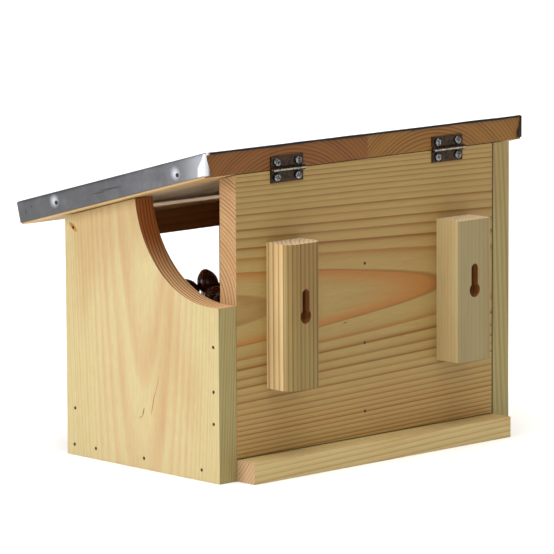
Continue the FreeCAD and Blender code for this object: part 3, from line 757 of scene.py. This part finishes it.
def on_top(height):
    """Whether a height on the flat roof is that of the sheet's top face."""
    return height > SHEET_TOP - 0.01


def sheet_point(x, height, run):
    """A point of the sheet's outer face, with its waves and its curled corners."""
    if not on_top(height):
        side = 1 if x > 0 else -1
        out = flange_wave(side, run, height) * ease(SHEET_TOP - height, 0, 2.5)
        return roof_point(x + side * out, run, height)
    wave = 0.16 * math.sin(x / 23.0 + run / 41.0) + 0.1 * math.sin(x / 9.0 - run / 13.0)
    edge = ease(abs(x), ROOF_HALF, ROOF_HALF - 14) * ease(run, ROOF_LENGTH, ROOF_LENGTH - 14)
    return roof_point(x, run, height - 0.2 * edge + wave * edge * 0.8)


def roof_sheet():
    """The metal cover: one sheet folded down over the sides and the front, open at the rear."""
    profile = sheet_profile()
    top_x = [x for x, height in profile if on_top(height)]
    first_top = next(index for index, (x, height) in enumerate(profile) if on_top(height))
    front = ROOF_LENGTH + SHEET_THICKNESS
    rear_runs = [0.0, 0.6, 1.3, 2.0, 3.0, 4.0, 5.0]
    even_run = front - FOLD_RADIUS - 6.0
    runs = rear_runs + [6.0 + even_run * step / SLOPE_ROWS for step in range(SLOPE_ROWS + 1)]
    points = []
    for run in runs:
        for x, height in profile:
            plumb = -height * math.tan(ROOF_PITCH) * (1 - ease(run, 0, 40))
            points.append(sheet_point(x, height, run + plumb))
    faces = grid_faces(len(runs), len(profile))

    last_row = (len(runs) - 1) * len(profile)
    front_flange(points, faces, top_x, last_row + first_top, front)
    for side, edge in ((1, 0), (-1, len(profile) - 1)):
        close_corner(points, faces, profile, last_row + edge, side, front)
        wrap_rear(points, faces, profile, edge, side)
    rear_lip(points, faces, top_x, first_top)

    piece = new_piece("roof_cover", points, faces, zinc_finish(), "lid")
    thicken = piece.modifiers.new("thickness", "SOLIDIFY")
    thicken.thickness = (SHEET_THICKNESS - 0.15) * MM
    thicken.offset = 1.0
    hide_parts("roof_sheet")


def add_row(points, faces, previous, places, turned=False):
    """Adds a row of points and joins it to the row before; turned says that its quads face the other way."""
    row = list(range(len(points), len(points) + len(places)))
    points.extend(places)
    for index in range(len(row) - 1):
        quad = (previous[index], previous[index + 1], row[index + 1], row[index])
        faces.append(quad[::-1] if turned else quad)
    return row


def front_flange(points, faces, top_x, start, front):
    """Folds the sheet down over the front, from the row of points that begins at start."""
    row = list(range(start, start + len(top_x)))
    for run, height in front_fold(front):
        bow = 0.25 * ease(SHEET_TOP - height, 2, 12)
        places = [roof_point(x, run + bow * math.sin(x / 19.0) - 0.1, height) for x in top_x]
        row = add_row(points, faces, row, places)


def rear_lip(points, faces, top_x, first_top):
    """Turns the sheet's rear edge down over the ends of the boards by a millimetre."""
    row = list(range(first_top, first_top + len(top_x)))
    for behind, drop, unevenness in ((0.25, 0.1, 0), (0.4, 0.5, 0), (0.4, REAR_LIP, 1)):
        places = []
        for x in top_x:
            uneven = 0.15 * math.sin(x / 11.0) + 0.1 * math.sin(x / 4.3)
            places.append((x, behind, rear_height_at(SHEET_TOP) - drop - unevenness * uneven))
        row = add_row(points, faces, row, places, turned=True)


def rear_height_at(height):
    """The level of a point on the boards' plumb rear face, from its height on the flat roof."""
    return ROOF_REAR_HEIGHT + height / math.cos(ROOF_PITCH)


def wrap_width(side, height):
    """How far a side flange reaches round on to the boards' rear face."""
    if side > 0:
        return 0.6 + 3.6 * ease(height, SHEET_TOP - 1, FLANGE_BOTTOM)
    torn_off = 0.3 + 0.2 * (SHEET_TOP - height)
    return 3.8 + (torn_off - 3.8) * ease(height, 6.4, 7.6)


def wrap_rear(points, faces, profile, edge, side):
    """Carries a side flange round the rear corner, and presses it against the boards' ends.

    side is 1 at the entry's side and -1 at the other, where the profile runs the other way.
    """
    count = FLANGE_STEPS + FOLD_STEPS - 1
    row = [edge + side * index for index in range(count)]
    heights = [profile[index][1] for index in range(count)]
    for part in range(1, 8):
        turn = min(part / 3, 1.0)
        inset = 0.7 * (1 - math.cos(turn * math.pi / 2))
        behind = 0.55 * math.sin(turn * math.pi / 2)
        along = max(part - 3, 0) / 4
        places = []
        for height in heights:
            x = side * (SHEET_HALF - inset - along * wrap_width(side, height))
            places.append((x, behind, rear_height_at(height)))
        row = add_row(points, faces, row, places, turned=side > 0)


def front_fold(front):
    """The (run, height) places of the front fold and flange, from the top edge down."""
    places = []
    for step in range(1, FOLD_STEPS + 1):
        angle = math.radians(90) * step / FOLD_STEPS
        places.append((front - FOLD_RADIUS * (1 - math.sin(angle)),
                       SHEET_TOP - FOLD_RADIUS * (1 - math.cos(angle))))
    flange_rows = 8
    for step in range(1, flange_rows + 1):
        places.append((front, SHEET_TOP - FOLD_RADIUS - FLAT_FLANGE * step / flange_rows))
    return places


def close_corner(points, faces, profile, edge, side, front):
    """Carries a side flange on round the front corner as a short tab."""
    count = FLANGE_STEPS + FOLD_STEPS
    row = [edge + side * index for index in range(count)]
    heights = [profile[index][1] for index in range(count)]
    turn = FOLD_RADIUS * 0.9
    path = []
    for part in range(1, 4):
        angle = math.radians(90) * part / 3
        path.append((SHEET_HALF - turn * (1 - math.cos(angle)), front - turn * (1 - math.sin(angle)) + 0.25))
    for part in range(1, 5):
        path.append((SHEET_HALF - turn - 2.2 * part, front + 0.25))
    for x, run in path:
        places = []
        for height in heights:
            trimmed = max(height, FLANGE_BOTTOM + 0.5 * (SHEET_HALF - x) / 3)
            places.append(roof_point(side * x, run, min(trimmed, SHEET_TOP - 0.35)))
        row = add_row(points, faces, row, places, turned=side < 0)


# --- Screws ---

HINGE_X = 77.0
HINGE_METAL = 1.0
SCREW_SPREAD = 9.8
SCREW_REACH = 5.1
HEAD_RADIUS = 2.8
HEAD_HEIGHT = 1.8
SHANK_RADIUS = 1.2
SHANK_LENGTH = 11.0
SHANK_TIP = 2.5

# How far each screw is turned, and how far it leans, in degrees.
LOWER_TURNS = [(20, 3), (65, -2), (40, 4), (5, -3)]
UPPER_TURNS = [(50, -3), (10, 9), (75, 2), (30, -5)]


def cross_depth(x, y, radius):
    """How deep the cross slot is at that place on the head."""
    if radius >= 0.66 * HEAD_RADIUS:
        return 0.0
    in_slot = 1 - ease(min(abs(x), abs(y)), 0.13 * HEAD_RADIUS, 0.2 * HEAD_RADIUS)
    in_reach = 1 - ease(radius, 0.5 * HEAD_RADIUS, 0.66 * HEAD_RADIUS)
    return 0.75 * HEAD_HEIGHT * in_slot * in_reach


def screw_points():
    """A pan-head screw along +Z, its head's flat underside at 0, as rings of points from the crown down."""
    around = 40
    crown = 0.3 * HEAD_HEIGHT
    rings = []
    for share in (0.0001, 0.1, 0.2, 0.3, 0.4, 0.5, 0.6, 0.68, 0.78, 0.88, 0.96):
        rings.append((HEAD_RADIUS * share, HEAD_HEIGHT - crown * share**3))
    crown_rings = len(rings)
    rings += [(HEAD_RADIUS, 0.45 * HEAD_HEIGHT), (HEAD_RADIUS, 0.0), (SHANK_RADIUS, 0.0),
              (SHANK_RADIUS, SHANK_TIP - SHANK_LENGTH), (0.05, -SHANK_LENGTH)]
    points = []
    for number, (radius, height) in enumerate(rings):
        for index in range(around):
            angle = 2 * math.pi * index / around
            x, y = radius * math.cos(angle), radius * math.sin(angle)
            sunk = cross_depth(x, y, radius) if number < crown_rings else 0.0
            points.append((x, y, height - sunk))
    return points, grid_faces(len(rings), around, closed=True)


def screw_row(height):
    """The (x, z) places of the hinge screws at that height, the entry side's hinge first."""
    return [(side * HINGE_X + way * SCREW_SPREAD, height) for side in (1, -1) for way in (-1, 1)]


def hinge_screws(node, body, places, tilts):
    """One row of hinge screws: the heads' undersides on the leaves, each turned its own way."""
    low_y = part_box("hinge_leaf_upper_left")[0].y / MM
    leaf_face = low_y + HINGE_METAL
    shape, quads = screw_points()
    points = []
    faces = []
    outwards = Matrix.Rotation(math.radians(-90), 3, "X")
    for (x, z), (turn, lean) in zip(places, tilts):
        spin = Matrix.Rotation(math.radians(turn), 3, "Z")
        tip = Matrix.Rotation(math.radians(lean), 3, "X") @ Matrix.Rotation(math.radians(0.6 * lean), 3, "Y")
        start = len(points)
        for point in shape:
            turned = outwards @ tip @ spin @ Vector(point)
            points.append(Vector((x, leaf_face, z)) + turned)
        faces += [tuple(start + index for index in quad) for quad in quads]
    piece = new_piece(f"{node}_turned", points, faces, PLATED, body)
    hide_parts(node)


# --- Nuts ---


NUT_RADIUS = 7.8
NUT_RINGS = 13
NUT_AROUND = 18
NUT_BASE = -0.84
SETTLING_STEPS = 160
FIRST_FALL = 0.8
PUSH_SHARE = 0.4
FAR_AWAY = 1000


def settle(low, high, count, seed):
    """Stacks balls of about a nut's size in a box, and lets them sink until they hardly overlap."""
    random = np.random.default_rng(seed)
    radii = NUT_RADIUS * random.uniform(0.9, 1.1, count)
    low, high = np.array(low, float), np.array(high, float)
    across = ((high - low)[:2] / (1.9 * NUT_RADIUS)).astype(int)
    layer, cell = np.divmod(np.arange(count), across[0] * across[1])
    column, row = np.divmod(cell, across[1])
    pitch = (high - low)[:2] / across
    places = np.stack([low[0] + (column + 0.5) * pitch[0], low[1] + (row + 0.5) * pitch[1],
                       low[2] + (layer + 0.6) * 1.7 * NUT_RADIUS], axis=1)
    places += random.uniform(-0.5, 0.5, (count, 3)) * NUT_RADIUS
    reach = radii[:, None] + radii[None, :]
    for step in range(SETTLING_STEPS):
        places[:, 2] -= FIRST_FALL * (1 - step / SETTLING_STEPS)
        gaps = places[:, None, :] - places[None, :, :]
        distances = np.linalg.norm(gaps, axis=2) + np.eye(count) * FAR_AWAY
        overlap = np.clip(reach - distances, 0, None)
        places += (gaps * (overlap / distances * PUSH_SHARE)[:, :, None]).sum(axis=1)
        places[:, :2] = np.clip(places[:, :2], low[:2] + radii[:, None], high[:2] - radii[:, None])
        places[:, 2] = np.maximum(places[:, 2], low[2] + radii)
    return places, radii, random


def nut_shape():
    """One nut as a unit shape: a pointed tip up +Z, a broad shoulder and a flattened base."""
    points = []
    for ring in range(NUT_RINGS):
        angle = math.pi * ring / (NUT_RINGS - 1)
        height = math.cos(angle)
        width = math.sin(angle) ** 0.86 * (1.0 - 0.1 * height)
        lifted = height + 0.16 * math.exp(-((1 - height) / 0.1))
        flat = max(lifted, NUT_BASE)
        width = max(width, 0.002)
        for index in range(NUT_AROUND):
            turn = 2 * math.pi * index / NUT_AROUND
            points.append((width * math.cos(turn), width * math.sin(turn), flat))
    return np.array(points), grid_faces(NUT_RINGS, NUT_AROUND, closed=True)


def nut_heap(name, node, count, seed):
    """The loose nuts of one half of the bin, in one mesh."""
    low, high = (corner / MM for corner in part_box(node))
    places, radii, random = settle(low, high, count, seed)
    shape, quads = nut_shape()
    points = []
    own_places = []
    tones = []
    faces = []
    for place, radius in zip(places, radii):
        turn = Quaternion(random.normal(size=4)).normalized().to_matrix()
        squash = np.array([1.0, random.uniform(0.88, 1.0), random.uniform(0.95, 1.12)])
        start = len(points)
        turned = (shape * squash * radius) @ np.array(turn).T + place
        points.extend(turned.tolist())
        own_places.extend((shape + random.uniform(-20, 20) * np.array([1, 1, 0])).tolist())
        tones.extend([random.uniform(0, 0.7)] * len(shape))
        faces += [tuple(start + index for index in quad[::-1]) for quad in quads]
    piece = new_piece(name, points, faces, NUT_SHELL, "box")
    mesh = piece.data
    places_layer = mesh.attributes.new("nut_place", "FLOAT_VECTOR", "POINT")
    places_layer.data.foreach_set("vector", np.array(own_places, np.float32).ravel())
    tone_layer = mesh.attributes.new("nut_tone", "FLOAT", "POINT")
    tone_layer.data.foreach_set("value", np.array(tones, np.float32))
    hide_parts(node)


# --- Putting it together ---


PLATED = plated_finish()
NAIL = nail_finish()
NUT_SHELL = nut_finish()
HINGE_LEAVES = [f"hinge_leaf_{level}_{side}" for level in ("lower", "upper") for side in ("left", "right")]

# Each kept CAD node's finish, how far its edges are rounded in millimetres, and the nodes that share them.
FINISHES = [
    (entry_side_pine(), 0.5, ["side_panel_entry"]),
    (plain_side_pine(), 0.5, ["side_panel_plain"]),
    (back_pine(), 0.35, ["back_panel"]),
    (level_pine("floor_pine", (20, -58, 62), 0.7, colour(180, 160, 109), colour(144, 106, 60)),
     0.6, ["floor_board"]),
    (level_pine("front_board_pine", (10, -120, 96)), 0.5, ["front_board"]),
    # The front bar's darker, redder ring colours are about half painted shade from inside the bin.
    (level_pine("front_bar_shaded_pine", (-30, -70, 120), 0.5, colour(162, 104, 50), colour(120, 62, 22),
                painted_lit_top), 0.5, ["front_bar"]),
    (level_pine("divider_pine", (60, -80, 95)), 0.4, ["centre_divider"]),
    # Each batten's last colour is the tint of the painted shade on its faces towards the wall.
    (batten_pine("batten_left_pine", (28, 60, 110), 3.6, 1.0, colour(199, 175, 124), colour(144, 96, 52),
                 79.8, colour(170, 166, 134)), 0.5, ["hanging_batten_left"]),
    (batten_pine("batten_right_pine", (-140, 92, 110), 3.0, 0.3, colour(190, 176, 128), colour(166, 134, 84),
                 -83.2, colour(184, 181, 177)), 0.5, ["hanging_batten_right"]),
    (roof_pine("roof_left_pine", (75, 0, 136), colour(121, 73, 18), colour(60, 26, 5)),
     0.3, ["roof_board_left"]),
    (roof_pine("roof_right_pine", (-62, 0, 140), colour(132, 90, 30), colour(71, 36, 9)),
     0.3, ["roof_board_right"]),
    (hinge_finish(), 0.15, HINGE_LEAVES),
    (PLATED, 0.2, ["hinge_pin_left", "hinge_pin_right"]),
    (PLATED, 0.15, ["batten_screws"]),
    (NAIL, 0.1, ["side_brads_entry", "side_brads_plain", "divider_brads"]),
    (NAIL, 0.2, ["roof_nails"]),
    (pane_finish(), 0.2, ["front_window"]),
]


def finish_nodes():
    """Gives each kept CAD node its finish and its eased edges."""
    for finish, width, names in FINISHES:
        for name in names:
            node = NODES[name]
            for place in range(len(node.data.materials)):
                node.data.materials[place] = finish
            ease_edges(node, width)


def fine_pieces():
    """The pieces that need more detail than their CAD nodes have."""
    roof_sheet()
    pin_low, pin_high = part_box("hinge_pin_left")
    pin_height = (pin_low.z + pin_high.z) / 2 / MM
    hinge_screws("hinge_screws_lower", "box", screw_row(pin_height - SCREW_REACH), LOWER_TURNS)
    hinge_screws("hinge_screws_upper", "lid", screw_row(pin_height + SCREW_REACH), UPPER_TURNS)
    nut_heap("nuts_entry_half", "nut_fill_left", 505, 20)
    nut_heap("nuts_plain_half", "nut_fill_right", 525, 13)


# --- Floor, light and camera ---


FLOOR_HALF = 14000
FLOOR_LEVEL = -0.15

# Each lamp: the direction it shines from, the angle it fills, how strongly it shines, and its tint.
LAMPS = {
    "key": ((3.0, -0.5, 0.8), 45, 0.95, (0.9, 0.92, 1.0)),
    "fill": ((0.8, 3.0, 0.8), 80, 0.44, (1.0, 0.99, 0.9)),
    "overhead": ((0.1, 0.1, 3.0), 60, 1.12, (1.0, 0.985, 0.96)),
}
SURROUNDING_TINT = (1.0, 0.98, 0.94, 1)
SURROUNDING_STRENGTH = 0.12


def floor():
    """A wide pale floor under the box, faintly mottled."""
    signs = ((-1, -1), (1, -1), (1, 1), (-1, 1))
    corners = [(x * FLOOR_HALF, y * FLOOR_HALF, FLOOR_LEVEL) for x, y in signs]
    mesh = bpy.data.meshes.new("studio_floor")
    mesh.from_pydata([Vector(corner) * MM for corner in corners], [], [(0, 1, 2, 3)])
    graph = Graph("studio_floor")
    mottle = graph.noise(graph.place, 900, detail=3)
    base = graph.mix(mottle, (0.9, 0.9, 0.9, 1), (0.94, 0.94, 0.94, 1))
    roughness = graph.remap(mottle, 0.3, 0.7, 0.7, 0.8)
    mesh.materials.append(graph.surface(base, roughness, Specular_IOR_Level=0.1))
    piece = bpy.data.objects.new("studio_floor", mesh)
    bpy.context.scene.collection.objects.link(piece)


def sun(name, direction, spread, irradiance, tint):
    """A distant soft light that shines from that direction; spread is the angle it fills, in degrees."""
    light = bpy.data.lights.new(name, "SUN")
    light.angle = math.radians(spread)
    light.energy = math.pi * irradiance
    light.color = tint
    lamp = bpy.data.objects.new(name, light)
    lamp.location = direction
    lamp.rotation_mode = "QUATERNION"
    lamp.rotation_quaternion = Vector(direction).to_track_quat("Z", "Y")
    bpy.context.scene.collection.objects.link(lamp)


def studio():
    """Key light from the entry side, a weak one from behind, a wide one overhead, and a dim surrounding."""
    floor()
    for name, (direction, spread, irradiance, tint) in LAMPS.items():
        sun(name, direction, spread, irradiance, tint)
    world = bpy.data.worlds.new("surrounding")
    world.use_nodes = True
    background = world.node_tree.nodes["Background"]
    background.inputs["Color"].default_value = SURROUNDING_TINT
    background.inputs["Strength"].default_value = SURROUNDING_STRENGTH
    bpy.context.scene.world = world
    bpy.context.scene.view_settings.view_transform = "Standard"


def camera():
    """The eye at its place, turned to its azimuth and elevation, and then about its own axis."""
    azimuth, elevation = math.radians(CAMERA_AZIMUTH), math.radians(CAMERA_ELEVATION)
    back = Vector((
        math.sin(azimuth) * math.cos(elevation),
        -math.cos(azimuth) * math.cos(elevation),
        math.sin(elevation),
    ))
    settings = bpy.data.cameras.new("camera")
    settings.lens = CAMERA_LENS
    settings.clip_end = 100
    eye = bpy.data.objects.new("camera", settings)
    eye.location = Vector(CAMERA_PLACE) * MM
    eye.rotation_mode = "QUATERNION"
    level = (-back).to_track_quat("-Z", "Y")
    eye.rotation_quaternion = level @ Quaternion((0, 0, 1), math.radians(CAMERA_ROLL))
    bpy.context.scene.collection.objects.link(eye)
    bpy.context.scene.camera = eye


finish_nodes()
fine_pieces()
studio()
camera()

bpy.context.view_layer.update()
